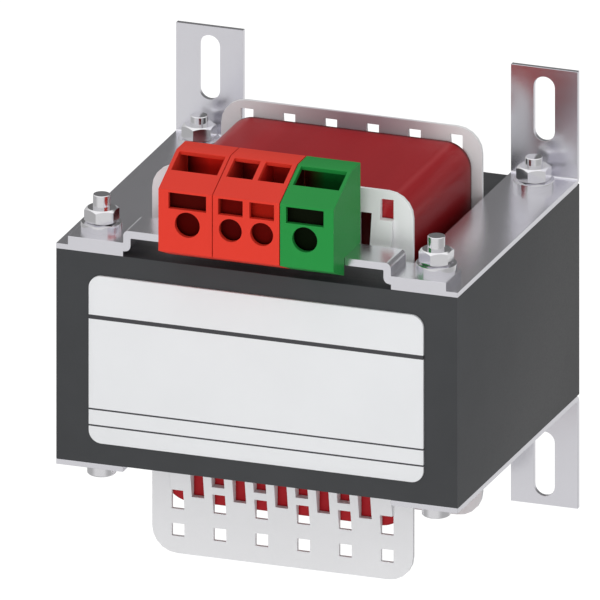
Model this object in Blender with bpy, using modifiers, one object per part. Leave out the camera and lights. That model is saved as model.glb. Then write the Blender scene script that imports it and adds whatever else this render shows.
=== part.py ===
"""Autotransformer on an EI core, held by slotted brackets, with a row of terminal blocks.

Metres, +Z up, +X to the right as seen from the front. The origin is the middle of the core's
back face, flush with the mounting tabs against the wall, and +Y points into that wall.
"""
import math

import bmesh
import bpy
from mathutils import Matrix, Vector

# Core of EI 96 laminations
OUTER_LEG = 0.016
CENTRE_LEG = 0.032
WINDOW_WIDTH = 0.016
WINDOW_LENGTH = 0.048
YOKE = 0.016
STACK_HEIGHT = 0.050

# Gap left between two pieces that touch, and between the layers of the coil
SEAT_GAP = 0.0002
LAYER_GAP = 0.00025

# Bobbin
TUBE_SIDE_CLEARANCE = 0.0003
TUBE_STACK_CLEARANCE = 0.0009
TUBE_WALL = 0.0015
TUBE_CORNER = 0.0010
TUBE_LIP = 0.0002
FLANGE_THICKNESS = 0.0009
FLANGE_END_CLEARANCE = 0.0009
FLANGE_SIDE_CLEARANCE = 0.0008
FLANGE_TOP_REACH = 0.0171
FLANGE_BOTTOM_REACH = 0.0257
FLANGE_CORNER = 0.0060
RAMP_DEPTH = 0.0026
RAMP_CLEARANCE = 0.0003
RAMP_ROOT = 0.0002

# Holes of the flanges: heights are measured from the face of the stack
HOLE_PITCH = 0.010
HOLE_WIDTH = 0.0030
SLOT_MARGIN = 0.0008
SLOT_TOP = 0.0116
INNER_HOLE_LOW = 0.0042
INNER_HOLE_HEIGHT = 0.00425
OUTER_HOLE_LOW = 0.0103
OUTER_HOLE_HEIGHT = 0.0048
EDGE_HOLE_LOW = 0.0186
EDGE_HOLE_HEIGHT = 0.0030
EDGE_COLUMNS = (-2.5, -1.5, -0.5, 0.5, 1.5, 2.5)

# Coil, from the tube outwards
COMMON_BUILD = 0.0043
INSULATION = 0.0005
SERIES_BUILD = 0.0040
WRAP = 0.0010
COIL_CORNER_GROWTH = 0.33
COIL_END_GAP = 0.0003
END_TAPE = 0.0004

# Leads from the coil to the terminals
LEAD_DIAMETER = 0.0020
LEAD_HOLE_CLEARANCE = 0.0003
LEAD_RISE_START = 0.36
LEAD_RISE_END = 0.83

# Mounting brackets
BRACKET_WIDTH = 0.016
BRACKET_THICKNESS = 0.0012
BRACKET_OUTER_BEND = 0.0018
BRACKET_INNER_BEND = 0.0005
TAB_REACH = 0.0272
SLOT_WIDTH = 0.0050
SLOT_LENGTH = 0.0154
SLOT_CENTRE = 0.0174

# Clamping screws, nuts and washers
SCREW_DIAMETER = 0.0040
SCREW_CHAMFER = 0.00015
SCREW_HOLE_CLEARANCE = 0.0005
HEAD_DIAMETER = 0.0066
HEAD_HEIGHT = 0.0037
HEAD_CHAMFER = 0.0003
SOCKET_ACROSS_FLATS = 0.0030
SOCKET_DEPTH = 0.0020
FRONT_PROTRUSION = 0.0031
REAR_PROTRUSION = 0.0021
NUT_ACROSS_FLATS = 0.0070
NUT_HEIGHT = 0.0031
NUT_FACE_DIAMETER = 0.0064
NUT_SEAT_DIAMETER = 0.0075
NUT_THREAD_CLEARANCE = 0.0002
WASHER_DIAMETER = 0.0094
WASHER_THICKNESS = 0.0014
WASHER_CHAMFER = 0.0002
WASHER_BORE_CLEARANCE = 0.0003

# Terminal carrier
CARRIER_THICKNESS = 0.0018
CARRIER_DEPTH = 0.0100
CARRIER_RISE = 0.0030
CARRIER_OUTER_BEND = 0.0013
CARRIER_INNER_BEND = 0.0002
EAR_INSET = 0.0028

# Terminal blocks: heights are measured from their seat on the carrier
SINGLE_BLOCK_WIDTH = 0.0128
DOUBLE_BLOCK_WIDTH = 0.0159
BLOCK_HEIGHT = 0.0190
BLOCK_FACE_TOP = 0.0136
BLOCK_SLOPE_RUN = 0.0120
BLOCK_OVERHANG = 0.0070
BLOCK_REAR_LIP = 0.0005
NOSE_DROP = 0.00125
HOOK_DROP = 0.00435
BLOCK_WALL = 0.0012
BLOCK_FLOOR = 0.0016
SINGLE_CAVITY_WIDTH = 0.0110
DOUBLE_CAVITY_WIDTH = 0.00625
SINGLE_WINDOW_WIDTH = 0.0090
DOUBLE_WINDOW_WIDTH = 0.0059
SINGLE_WIRE_HOLE = 0.0060
DOUBLE_WIRE_HOLE = 0.0055
SINGLE_POLE_OFFSET = 0.0005
POLE_PITCH = 0.0075
WIRE_HOLE_HEIGHT = 0.0057
WINDOW_LOW = 0.0092
WINDOW_HIGH = 0.01305
SLOPE_WINDOW_START = 0.00645
SLOPE_WINDOW_LENGTH = 0.0062

# Contacts inside the poles
CONTACT_WIDTH = 0.0044
CONTACT_THICKNESS = 0.0010
CONTACT_SETBACK = 0.0040
CONTACT_LEG_HEIGHT = 0.0042
CONTACT_TO_WALL = 0.0007
FOOT_WIDTH = 0.0010
FOOT_SETBACK = 0.0040
SPRING_THICKNESS = 0.0005
SPRING_LENGTH = 0.0060
SPRING_HEIGHT = 0.0054
SPRING_TIP_REACH = 0.0014
SPRING_TIP_HEIGHT = 0.0012
SPRING_BEND = 0.0008

# Rating plate
PLATE_WIDTH = 0.080
PLATE_HEIGHT = 0.040
PLATE_THICKNESS = 0.0005
PLATE_CORNER = 0.0030

# Roundness of arcs and turned pieces
ARC_STEPS = 5
TURN_STEPS = 24
CUT_MARGIN = 0.0010
WELD = 0.0000005

# Places that follow from the sizes above
CORE_WIDTH = CENTRE_LEG + 2 * WINDOW_WIDTH + 2 * OUTER_LEG
CORE_DEPTH = WINDOW_LENGTH + 2 * YOKE
CORE_FRONT = -CORE_DEPTH
STACK_TOP = STACK_HEIGHT / 2
SCREW_X = CORE_WIDTH / 2 - OUTER_LEG / 2
FRONT_SCREW_Y = CORE_FRONT + YOKE / 2
REAR_SCREW_Y = -YOKE / 2
SCREW_HOLE = SCREW_DIAMETER + 2 * SCREW_HOLE_CLEARANCE
TUBE_HALF_X = CENTRE_LEG / 2 + TUBE_SIDE_CLEARANCE
TUBE_HALF_Z = STACK_TOP + TUBE_STACK_CLEARANCE
COIL_INSIDE_Z = TUBE_HALF_Z + TUBE_WALL
FLANGE_FRONT = CORE_FRONT + YOKE + FLANGE_END_CLEARANCE
FLANGE_BACK = -YOKE - FLANGE_END_CLEARANCE
COIL_FRONT = FLANGE_FRONT + FLANGE_THICKNESS + COIL_END_GAP
COIL_BACK = FLANGE_BACK - FLANGE_THICKNESS - COIL_END_GAP
WINDING_FRONT = COIL_FRONT + END_TAPE + SEAT_GAP
WINDING_BACK = COIL_BACK - END_TAPE - SEAT_GAP
SERIES_START = COMMON_BUILD + INSULATION + 3 * LAYER_GAP
WRAP_START = SERIES_START + SERIES_BUILD + LAYER_GAP
BRACKET_LOW = STACK_TOP + SEAT_GAP
BRACKET_HIGH = BRACKET_LOW + BRACKET_THICKNESS
BRACKET_INNER_X = CORE_WIDTH / 2 - BRACKET_WIDTH
BRACKET_X = CORE_WIDTH / 2 - BRACKET_WIDTH / 2
EAR_LOW = BRACKET_HIGH + SEAT_GAP
EAR_HIGH = EAR_LOW + CARRIER_THICKNESS
CARRIER_TOP = EAR_HIGH + CARRIER_RISE
CARRIER_BACK = CORE_FRONT + CARRIER_DEPTH
BLOCK_SEAT = CARRIER_TOP + SEAT_GAP
BLOCK_FRONT = CORE_FRONT - SEAT_GAP - BLOCK_OVERHANG
BLOCK_BACK = CARRIER_BACK + BLOCK_REAR_LIP
CAVITY_BACK = BLOCK_BACK - BLOCK_WALL
CONTACT_LOW = BLOCK_SEAT + BLOCK_FLOOR + SEAT_GAP
CONTACT_HIGH = CONTACT_LOW + CONTACT_THICKNESS
CONTACT_BACK = CAVITY_BACK - CONTACT_TO_WALL
DOUBLE_POLE_X = POLE_PITCH / 2
SINGLE_BLOCK_X = DOUBLE_BLOCK_WIDTH / 2 + SEAT_GAP + SINGLE_BLOCK_WIDTH / 2
SINGLE_POLE_X = SINGLE_BLOCK_X - SINGLE_POLE_OFFSET

# Each drawing plane's axes as columns: across, up, and the way the outline is extruded
PLANES = {
    "XY": Matrix(((1, 0, 0), (0, 1, 0), (0, 0, 1))),
    "XZ": Matrix(((1, 0, 0), (0, 0, -1), (0, 1, 0))),
    "YZ": Matrix(((0, 0, 1), (1, 0, 0), (0, 1, 0))),
}


def clear_scene():
    for item in list(bpy.data.objects):
        bpy.data.objects.remove(item)


def new_collection(name):
    group = bpy.data.collections.new(name)
    bpy.context.scene.collection.children.link(group)
    return group


clear_scene()
PARTS = new_collection("autotransformer")
CUTTERS = new_collection("cutters")


def make_material(name, colour, roughness, metallic=0.0):
    material = bpy.data.materials.new(name)
    material.use_nodes = True
    shader = material.node_tree.nodes["Principled BSDF"]
    shader.inputs["Base Color"].default_value = (*colour, 1.0)
    shader.inputs["Roughness"].default_value = roughness
    shader.inputs["Metallic"].default_value = metallic
    return material


MATERIALS = {
    "core_paint": make_material("core_paint", (0.055, 0.058, 0.062), 0.5),
    "zinc": make_material("zinc", (0.62, 0.62, 0.65), 0.25, 1.0),
    "screw_steel": make_material("screw_steel", (0.70, 0.70, 0.72), 0.2, 1.0),
    "bobbin_plastic": make_material("bobbin_plastic", (0.70, 0.70, 0.71), 0.45),
    "red_tape": make_material("red_tape", (0.26, 0.020, 0.028), 0.25),
    "copper": make_material("copper", (0.72, 0.33, 0.20), 0.3, 1.0),
    "insulation_film": make_material("insulation_film", (0.75, 0.66, 0.45), 0.5),
    "red_plastic": make_material("red_plastic", (0.76, 0.045, 0.028), 0.45),
    "green_plastic": make_material("green_plastic", (0.020, 0.28, 0.055), 0.45),
    "contact_copper": make_material("contact_copper", (0.75, 0.55, 0.35), 0.3, 1.0),
    "spring_steel": make_material("spring_steel", (0.55, 0.55, 0.57), 0.3, 1.0),
    "lead_sleeve": make_material("lead_sleeve", (0.05, 0.05, 0.05), 0.5),
    "plate_face": make_material("plate_face", (0.78, 0.79, 0.80), 0.4),
}


def link_piece(name, mesh, material, location=(0, 0, 0)):
    """Add a finished piece with its material, shaded smooth but for its sharp edges."""
    item = bpy.data.objects.new(name, mesh)
    item.location = location
    PARTS.objects.link(item)
    item.data.materials.clear()
    item.data.materials.append(MATERIALS[material])
    item.data.shade_smooth()
    item.data.set_sharp_from_angle(angle=math.radians(35))
    return item


def name_piece(body, name, material):
    """Turn a working shape into a finished piece that keeps its place."""
    piece = link_piece(name, body.data, material)
    piece.matrix_world = body.matrix_world
    bpy.data.objects.remove(body)
    return piece


def working_object(mesh, matrix=Matrix.Identity(4)):
    """Add a shape that is still to be cut, or that cuts another."""
    item = bpy.data.objects.new("working_shape", mesh)
    item.matrix_world = matrix
    item.hide_render = True
    item.display_type = "WIRE"
    CUTTERS.objects.link(item)
    return item


def rounded_outline(corners):
    """Points of a closed outline whose corners are given as (across, up, radius)."""
    points = []
    for index, (across, up, radius) in enumerate(corners):
        corner = Vector((across, up))
        if radius <= 0:
            points.append(corner)
            continue
        to_last = (Vector(corners[index - 1][:2]) - corner).normalized()
        to_next = (Vector(corners[(index + 1) % len(corners)][:2]) - corner).normalized()
        half_angle = to_last.angle(to_next) / 2
        centre = corner + (to_last + to_next).normalized() * radius / math.sin(half_angle)
        start = corner + to_last * radius / math.tan(half_angle) - centre
        end = corner + to_next * radius / math.tan(half_angle) - centre
        sweep = math.atan2(start.x * end.y - start.y * end.x, start.dot(end))
        for step in range(ARC_STEPS + 1):
            points.append(centre + Matrix.Rotation(sweep * step / ARC_STEPS, 2) @ start)
    return points


def box_outline(left, right, low, high, radius=0.0):
    return rounded_outline([
        (left, low, radius),
        (right, low, radius),
        (right, high, radius),
        (left, high, radius),
    ])


def curve_to_mesh(curve, matrix):
    """Mesh of a curve, with its loose caps welded on, as a working shape."""
    source = working_object(curve, matrix)
    graph = bpy.context.evaluated_depsgraph_get()
    mesh = bpy.data.meshes.new_from_object(source.evaluated_get(graph))
    bpy.data.objects.remove(source)
    bpy.data.curves.remove(curve)
    shape = bmesh.new()
    shape.from_mesh(mesh)
    bmesh.ops.remove_doubles(shape, verts=shape.verts, dist=WELD)
    bmesh.ops.recalc_face_normals(shape, faces=shape.faces)
    shape.to_mesh(mesh)
    shape.free()
    return working_object(mesh, matrix)


def extruded(loops, plane, start, end):
    """Flat outline, the first loop, less its holes, the other loops, from start to end."""
    curve = bpy.data.curves.new("outline", "CURVE")
    curve.dimensions = "2D"
    curve.fill_mode = "BOTH"
    curve.extrude = (end - start) / 2
    for loop in loops:
        spline = curve.splines.new("POLY")
        spline.points.add(len(loop) - 1)
        spline.use_cyclic_u = True
        for point, (across, up) in zip(spline.points, loop):
            point.co = (across, up, 0, 1)
    turn = PLANES[plane]
    middle = (start + end) / 2
    place = {"XY": (0, 0, middle), "XZ": (0, middle, 0), "YZ": (middle, 0, 0)}[plane]
    return curve_to_mesh(curve, Matrix.Translation(place) @ turn.to_4x4())


def blocks(corners):
    """Boxes between pairs of opposite corners, as one working shape."""
    shape = bmesh.new()
    for low, high in corners:
        size = [top - bottom for bottom, top in zip(low, high)]
        middle = [(top + bottom) / 2 for bottom, top in zip(low, high)]
        place = Matrix.Translation(middle) @ Matrix.Diagonal((*size, 1))
        bmesh.ops.create_cube(shape, size=1.0, matrix=place)
    mesh = bpy.data.meshes.new("blocks")
    shape.to_mesh(mesh)
    shape.free()
    return working_object(mesh)


def rod(centre, diameter, length, axis="Z", sides=TURN_STEPS):
    """Cylinder, or a hexagonal bar with six sides, about a centre point."""
    shape = bmesh.new()
    radius = diameter / 2
    bmesh.ops.create_cone(
        shape, cap_ends=True, segments=sides, radius1=radius, radius2=radius, depth=length)
    mesh = bpy.data.meshes.new("rod")
    shape.to_mesh(mesh)
    shape.free()
    turn = Matrix.Rotation(math.radians(90), 4, "X") if axis == "Y" else Matrix.Identity(4)
    return working_object(mesh, Matrix.Translation(centre) @ turn)


def turned(profile, centre=(0, 0, 0)):
    """Profile of (radius, height) from top to bottom, turned about the vertical axis."""
    mesh = bpy.data.meshes.new("profile")
    edges = [(index, index + 1) for index in range(len(profile) - 1)]
    mesh.from_pydata([(radius, 0, height) for radius, height in profile], edges, [])
    body = working_object(mesh, Matrix.Translation(centre))
    screw = body.modifiers.new("turn", "SCREW")
    screw.steps = TURN_STEPS
    screw.render_steps = TURN_STEPS
    screw.use_merge_vertices = True
    screw.merge_threshold = 0.000001
    apply_modifiers(body)
    return body


def apply_modifiers(body):
    graph = bpy.context.evaluated_depsgraph_get()
    mesh = bpy.data.meshes.new_from_object(body.evaluated_get(graph))
    spent = body.data
    body.modifiers.clear()
    body.data = mesh
    bpy.data.meshes.remove(spent)


def combine(body, tools, operation="DIFFERENCE"):
    """Cut the tools from the body, or join them to it, and remove them."""
    for tool in tools:
        step = body.modifiers.new("combine", "BOOLEAN")
        step.operation = operation
        step.solver = "EXACT"
        step.object = tool
    apply_modifiers(body)
    for tool in tools:
        bpy.data.objects.remove(tool)
    return body


def screw_places():
    """Name, x, y and height of the seat above the stack's top for each clamping screw."""
    return [
        ("front_left", -SCREW_X, FRONT_SCREW_Y, EAR_HIGH, FRONT_PROTRUSION),
        ("front_right", SCREW_X, FRONT_SCREW_Y, EAR_HIGH, FRONT_PROTRUSION),
        ("rear_left", -SCREW_X, REAR_SCREW_Y, BRACKET_HIGH, REAR_PROTRUSION),
        ("rear_right", SCREW_X, REAR_SCREW_Y, BRACKET_HIGH, REAR_PROTRUSION),
    ]


def screw_holes(height, centre_z, rows):
    """Rods that cut the clamping screws' holes in the given rows."""
    return [
        rod((side * SCREW_X, row, centre_z), SCREW_HOLE, height)
        for row in rows
        for side in (-1, 1)
    ]


def make_core():
    """E laminations open to the front, closed there by the I laminations."""
    half = CORE_WIDTH / 2
    leg = CENTRE_LEG / 2
    window = leg + WINDOW_WIDTH
    legs_front = CORE_FRONT + YOKE + SEAT_GAP
    e_stack = blocks([((-half, legs_front, -STACK_TOP), (half, 0, STACK_TOP))])
    windows = blocks([
        ((low, legs_front - CUT_MARGIN, -STACK_HEIGHT), (high, -YOKE, STACK_HEIGHT))
        for low, high in ((-window, -leg), (leg, window))
    ])
    combine(e_stack, [windows] + screw_holes(2 * STACK_HEIGHT, 0, [REAR_SCREW_Y]))
    name_piece(e_stack, "core_e_laminations", "core_paint")
    bar = box_outline(-half, half, CORE_FRONT, CORE_FRONT + YOKE)
    i_stack = extruded([bar], "XY", -STACK_TOP, STACK_TOP)
    combine(i_stack, screw_holes(2 * STACK_HEIGHT, 0, [FRONT_SCREW_Y]))
    name_piece(i_stack, "core_i_laminations", "core_paint")


def tube_outline(offset, radius):
    """Outline round the tube's inside, moved outwards by an offset."""
    half_x = TUBE_HALF_X + offset
    half_z = TUBE_HALF_Z + offset
    return box_outline(-half_x, half_x, -half_z, half_z, radius)


def flange_hole(column, low, height):
    """Corners of a box that cuts one hole through both flanges, above or below the core."""
    middle = column * HOLE_PITCH
    reach = sorted((low, low + math.copysign(height, low)))
    return (
        (middle - HOLE_WIDTH / 2, FLANGE_FRONT - RAMP_DEPTH - CUT_MARGIN, reach[0]),
        (middle + HOLE_WIDTH / 2, FLANGE_BACK + RAMP_DEPTH + CUT_MARGIN, reach[1]),
    )


def flange_holes():
    """Rows of holes that mirror each other above and below the core, and one more row below."""
    holes = []
    slot_low = COIL_INSIDE_Z + SLOT_MARGIN
    slot_height = STACK_TOP + SLOT_TOP - slot_low
    for side in (-1, 1):
        for column in (-2, -1, 0, 1, 2):
            holes.append(flange_hole(column, side * slot_low, slot_height))
        for column in (-1.5, -0.5, 0.5, 1.5):
            low = side * (STACK_TOP + INNER_HOLE_LOW)
            holes.append(flange_hole(column, low, INNER_HOLE_HEIGHT))
        for column in EDGE_COLUMNS:
            low = side * (STACK_TOP + OUTER_HOLE_LOW)
            holes.append(flange_hole(column, low, OUTER_HOLE_HEIGHT))
    for column in EDGE_COLUMNS:
        holes.append(flange_hole(column, -STACK_TOP - EDGE_HOLE_LOW, EDGE_HOLE_HEIGHT))
    return holes


def flange_plate(front):
    """Plain flange with a bore halfway into the tube's wall, so that the two join cleanly."""
    half = CENTRE_LEG / 2 + WINDOW_WIDTH - FLANGE_SIDE_CLEARANCE
    low = -STACK_TOP - FLANGE_BOTTOM_REACH
    high = STACK_TOP + FLANGE_TOP_REACH
    bore = tube_outline(TUBE_WALL / 2, TUBE_CORNER + TUBE_WALL / 2)
    outline = box_outline(-half, half, low, high, FLANGE_CORNER)
    return extruded([outline, bore], "XZ", front, front + FLANGE_THICKNESS)


def flange_ramp(face, outward, side):
    """Wedge that thickens a flange towards the core, above it or below it."""
    foot = STACK_TOP + RAMP_CLEARANCE
    crest = STACK_TOP + OUTER_HOLE_LOW + OUTER_HOLE_HEIGHT
    tip = crest + RAMP_ROOT * (crest - foot) / RAMP_DEPTH
    outline = [
        (face + outward * RAMP_DEPTH, side * foot),
        (face - outward * RAMP_ROOT, side * tip),
        (face - outward * RAMP_ROOT, side * foot),
    ]
    half = EDGE_COLUMNS[-1] * HOLE_PITCH + HOLE_WIDTH / 2
    return extruded([outline], "YZ", -half, half)


def make_bobbin():
    """Tube with a perforated flange at each end, thicker towards the core."""
    walls = [tube_outline(TUBE_WALL, TUBE_CORNER + TUBE_WALL), tube_outline(0, TUBE_CORNER)]
    tube = extruded(walls, "XZ", FLANGE_FRONT - TUBE_LIP, FLANGE_BACK + TUBE_LIP)
    added = [flange_plate(FLANGE_FRONT), flange_plate(FLANGE_BACK - FLANGE_THICKNESS)]
    for side in (-1, 1):
        added.append(flange_ramp(FLANGE_FRONT, -1, side))
        added.append(flange_ramp(FLANGE_BACK, 1, side))
    combine(tube, added, "UNION")
    combine(tube, [blocks(flange_holes())])
    name_piece(tube, "bobbin", "bobbin_plastic")


def coil_layer(name, material, inner, outer, front, back):
    """Closed turn of the coil between two distances from the tube's outside."""
    loops = []
    for offset in (outer, inner):
        corner = TUBE_CORNER + TUBE_WALL + COIL_CORNER_GROWTH * offset
        loops.append(tube_outline(TUBE_WALL + offset, corner))
    return name_piece(extruded(loops, "XZ", front, back), name, material)


def lead_starts():
    """Name, x and z where each lead leaves the coil, and the x of its pole."""
    inner = STACK_TOP + INNER_HOLE_LOW + INNER_HOLE_HEIGHT / 2
    series = COIL_INSIDE_Z + SERIES_START + SERIES_BUILD / 2
    return [
        ("lead_line", -HOLE_PITCH, series, -SINGLE_POLE_X),
        ("lead_tap", -HOLE_PITCH / 2, inner, -DOUBLE_POLE_X),
        ("lead_common", HOLE_PITCH / 2, inner, DOUBLE_POLE_X),
    ]


def lead_hole(x, y, z):
    """Rod along the depth that clears a lead."""
    return rod((x, y, z), LEAD_DIAMETER + 2 * LEAD_HOLE_CLEARANCE, 4 * BLOCK_WALL, "Y", 16)


def make_coil():
    """Two windings with insulation between them, taped round and at both ends."""
    coil_layer("common_winding", "copper", LAYER_GAP, LAYER_GAP + COMMON_BUILD,
               WINDING_FRONT, WINDING_BACK)
    film = COMMON_BUILD + 2 * LAYER_GAP
    coil_layer("winding_insulation", "insulation_film", film, film + INSULATION,
               WINDING_FRONT, WINDING_BACK)
    coil_layer("series_winding", "copper", SERIES_START, SERIES_START + SERIES_BUILD,
               WINDING_FRONT, WINDING_BACK)
    coil_layer("outer_wrap", "red_tape", WRAP_START, WRAP_START + WRAP, COIL_FRONT, COIL_BACK)
    tape_reach = WRAP_START - LAYER_GAP
    front = coil_layer("coil_end_tape_front", "red_tape", LAYER_GAP, tape_reach,
                       COIL_FRONT, COIL_FRONT + END_TAPE)
    combine(front, [lead_hole(x, COIL_FRONT, z) for _, x, z, _ in lead_starts()])
    coil_layer("coil_end_tape_rear", "red_tape", LAYER_GAP, tape_reach,
               COIL_BACK - END_TAPE, COIL_BACK)


def lead_height():
    """Height at which the leads enter the terminal blocks."""
    return CONTACT_LOW + CONTACT_LEG_HEIGHT / 2


def make_leads():
    """Sleeved wires that rise from the coil's end to the backs of the blocks."""
    points = 14
    start_y = WINDING_FRONT - SEAT_GAP
    end_y = CONTACT_BACK + SEAT_GAP
    for name, start_x, start_z, pole_x in lead_starts():
        curve = bpy.data.curves.new(name, "CURVE")
        curve.dimensions = "3D"
        curve.bevel_depth = LEAD_DIAMETER / 2
        curve.bevel_resolution = 2
        curve.use_fill_caps = True
        spline = curve.splines.new("POLY")
        spline.points.add(points - 1)
        for index, point in enumerate(spline.points):
            share = index / (points - 1)
            ease = (share - LEAD_RISE_START) / (LEAD_RISE_END - LEAD_RISE_START)
            ease = min(max(ease, 0.0), 1.0)
            blend = ease * ease * (3 - 2 * ease)
            x = start_x + (pole_x - start_x) * blend
            z = start_z + (lead_height() - start_z) * blend
            point.co = (x, start_y + (end_y - start_y) * share, z, 1)
        name_piece(curve_to_mesh(curve, Matrix.Identity(4)), name, "lead_sleeve")


def make_brackets():
    """Angled brackets on the core's top and bottom, with a slotted tab against the wall."""
    front = (CORE_FRONT, BRACKET_LOW, 0)
    tab_top = BRACKET_HIGH - BRACKET_THICKNESS - SEAT_GAP + TAB_REACH
    outline = rounded_outline([
        front,
        (0, BRACKET_LOW, BRACKET_OUTER_BEND),
        (0, tab_top, 0),
        (-BRACKET_THICKNESS, tab_top, 0),
        (-BRACKET_THICKNESS, BRACKET_HIGH, BRACKET_INNER_BEND),
        (CORE_FRONT, BRACKET_HIGH, 0),
    ])
    sheet = extruded([outline], "YZ", -BRACKET_WIDTH / 2, BRACKET_WIDTH / 2)
    slot_z = STACK_TOP + SLOT_CENTRE
    slot = box_outline(-SLOT_WIDTH / 2, SLOT_WIDTH / 2, slot_z - SLOT_LENGTH / 2,
                       slot_z + SLOT_LENGTH / 2, SLOT_WIDTH / 2 * 0.999)
    tools = [extruded([slot], "XZ", -BRACKET_THICKNESS - CUT_MARGIN, CUT_MARGIN)]
    hole_x = SCREW_X - BRACKET_X
    for row in (FRONT_SCREW_Y, REAR_SCREW_Y):
        tools.append(rod((hole_x, row, BRACKET_LOW), SCREW_HOLE, 4 * BRACKET_THICKNESS))
    combine(sheet, tools)
    sheet.data.transform(sheet.matrix_world)
    for side_name, side in (("left", -1), ("right", 1)):
        upper = link_piece(f"upper_bracket_{side_name}", sheet.data, "zinc")
        upper.location = (side * BRACKET_X, 0, 0)
        lower = link_piece(f"lower_bracket_{side_name}", sheet.data, "zinc")
        lower.location = (side * BRACKET_X, 0, 0)
        lower.rotation_euler = (0, math.pi, 0)
    bpy.data.objects.remove(sheet)


def make_carrier():
    """Strip across the front of the core's top, with ears under the front nuts."""
    end = CORE_WIDTH / 2 - EAR_INSET
    wall = BRACKET_INNER_X
    inside = wall - CARRIER_THICKNESS
    half = [
        (end, EAR_LOW, 0),
        (end, EAR_HIGH, 0),
        (wall, EAR_HIGH, CARRIER_INNER_BEND),
        (wall, CARRIER_TOP, CARRIER_OUTER_BEND),
    ]
    under = [
        (inside, CARRIER_TOP - CARRIER_THICKNESS, CARRIER_INNER_BEND),
        (inside, EAR_LOW, CARRIER_OUTER_BEND),
    ]
    mirrored = [(-x, z, radius) for x, z, radius in reversed(half)]
    mirrored_under = [(-x, z, radius) for x, z, radius in reversed(under)]
    outline = rounded_outline(half + mirrored + mirrored_under + under)
    strip = extruded([outline], "XZ", CORE_FRONT, CARRIER_BACK)
    notches = []
    for side in (-1, 1):
        middle = side * SCREW_X
        notch = box_outline(middle - SCREW_HOLE / 2, middle + SCREW_HOLE / 2,
                            FRONT_SCREW_Y - SCREW_HOLE / 2, CARRIER_BACK + SCREW_HOLE,
                            SCREW_HOLE / 2 * 0.999)
        notches.append(extruded([notch], "XY", EAR_LOW - CUT_MARGIN, EAR_HIGH + CUT_MARGIN))
    combine(strip, notches)
    name_piece(strip, "terminal_carrier", "zinc")


def make_screw(name, x, y, top):
    """Socket-head screw from under the lower bracket to its end above the nut."""
    radius = SCREW_DIAMETER / 2
    head = HEAD_DIAMETER / 2
    head_top = -BRACKET_HIGH - SEAT_GAP
    head_low = head_top - HEAD_HEIGHT
    body = turned([
        (0, top),
        (radius - SCREW_CHAMFER, top),
        (radius, top - SCREW_CHAMFER),
        (radius, head_top),
        (head, head_top),
        (head, head_low + HEAD_CHAMFER),
        (head - HEAD_CHAMFER, head_low),
        (0, head_low),
    ], (x, y, 0))
    across_corners = SOCKET_ACROSS_FLATS / math.cos(math.radians(30))
    combine(body, [rod((x, y, head_low), across_corners, 2 * SOCKET_DEPTH, "Z", 6)])
    name_piece(body, name, "screw_steel")


def nut_mesh():
    """Hexagon nut with its corners chamfered, more so on top, its middle at the origin."""
    half = NUT_HEIGHT / 2
    face = NUT_FACE_DIAMETER / 2
    seat = NUT_SEAT_DIAMETER / 2
    corner = NUT_ACROSS_FLATS / 2 / math.cos(math.radians(30))
    wide = corner * 1.1
    slope = math.tan(math.radians(30))
    body = turned([
        (0, half),
        (face, half),
        (wide, half - (wide - face) * slope),
        (wide, (wide - seat) * slope - half),
        (seat, -half),
        (0, -half),
    ])
    combine(body, [rod((0, 0, 0), 2 * corner, 2 * NUT_HEIGHT, "Z", 6)], "INTERSECT")
    bore = SCREW_DIAMETER + 2 * NUT_THREAD_CLEARANCE
    combine(body, [rod((0, 0, 0), bore, 2 * NUT_HEIGHT)])
    mesh = body.data
    bpy.data.objects.remove(body)
    return mesh


def washer_mesh():
    """Flat washer with eased outer edges, its middle at the origin."""
    half = WASHER_THICKNESS / 2
    inner = SCREW_DIAMETER / 2 + WASHER_BORE_CLEARANCE
    outer = WASHER_DIAMETER / 2
    body = turned([
        (inner, half),
        (outer - WASHER_CHAMFER, half),
        (outer, half - WASHER_CHAMFER),
        (outer, WASHER_CHAMFER - half),
        (outer - WASHER_CHAMFER, -half),
        (inner, -half),
        (inner, half),
    ])
    mesh = body.data
    bpy.data.objects.remove(body)
    return mesh


def make_fasteners():
    """Screw, washer and nut at each corner of the core."""
    nut = nut_mesh()
    washer = washer_mesh()
    for place, x, y, seat, protrusion in screw_places():
        washer_z = seat + SEAT_GAP + WASHER_THICKNESS / 2
        nut_z = seat + 2 * SEAT_GAP + WASHER_THICKNESS + NUT_HEIGHT / 2
        link_piece(f"washer_{place}", washer, "screw_steel", (x, y, washer_z))
        link_piece(f"nut_{place}", nut, "screw_steel", (x, y, nut_z))
        make_screw(f"clamping_screw_{place}", x, y, nut_z + NUT_HEIGHT / 2 + protrusion)


def slope_frame():
    """Foot of the block's sloping face, and its directions along and into the block."""
    foot = Vector((BLOCK_FRONT, BLOCK_SEAT + BLOCK_FACE_TOP))
    along = Vector((BLOCK_SLOPE_RUN, BLOCK_HEIGHT - BLOCK_FACE_TOP)).normalized()
    inward = Vector((along.y, -along.x))
    return foot, along, inward


def cavity_outline():
    """Side view of a pole's cavity, open through the window in the sloping face."""
    foot, along, inward = slope_frame()
    roof = BLOCK_SEAT + BLOCK_HEIGHT - BLOCK_WALL
    floor = BLOCK_SEAT + BLOCK_FLOOR
    front = BLOCK_FRONT + BLOCK_WALL
    inner_foot = foot + inward * BLOCK_WALL
    front_top = inner_foot.y + (front - inner_foot.x) * along.y / along.x
    start = foot + along * SLOPE_WINDOW_START
    end = start + along * SLOPE_WINDOW_LENGTH
    end_inside = end + inward * BLOCK_WALL
    return [
        (front, floor),
        (front, front_top),
        start + inward * BLOCK_WALL,
        start - inward * CUT_MARGIN,
        end - inward * CUT_MARGIN,
        end_inside,
        (end_inside.x + (roof - end_inside.y) * along.x / along.y, roof),
        (CAVITY_BACK, roof),
        (CAVITY_BACK, floor),
    ]


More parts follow.
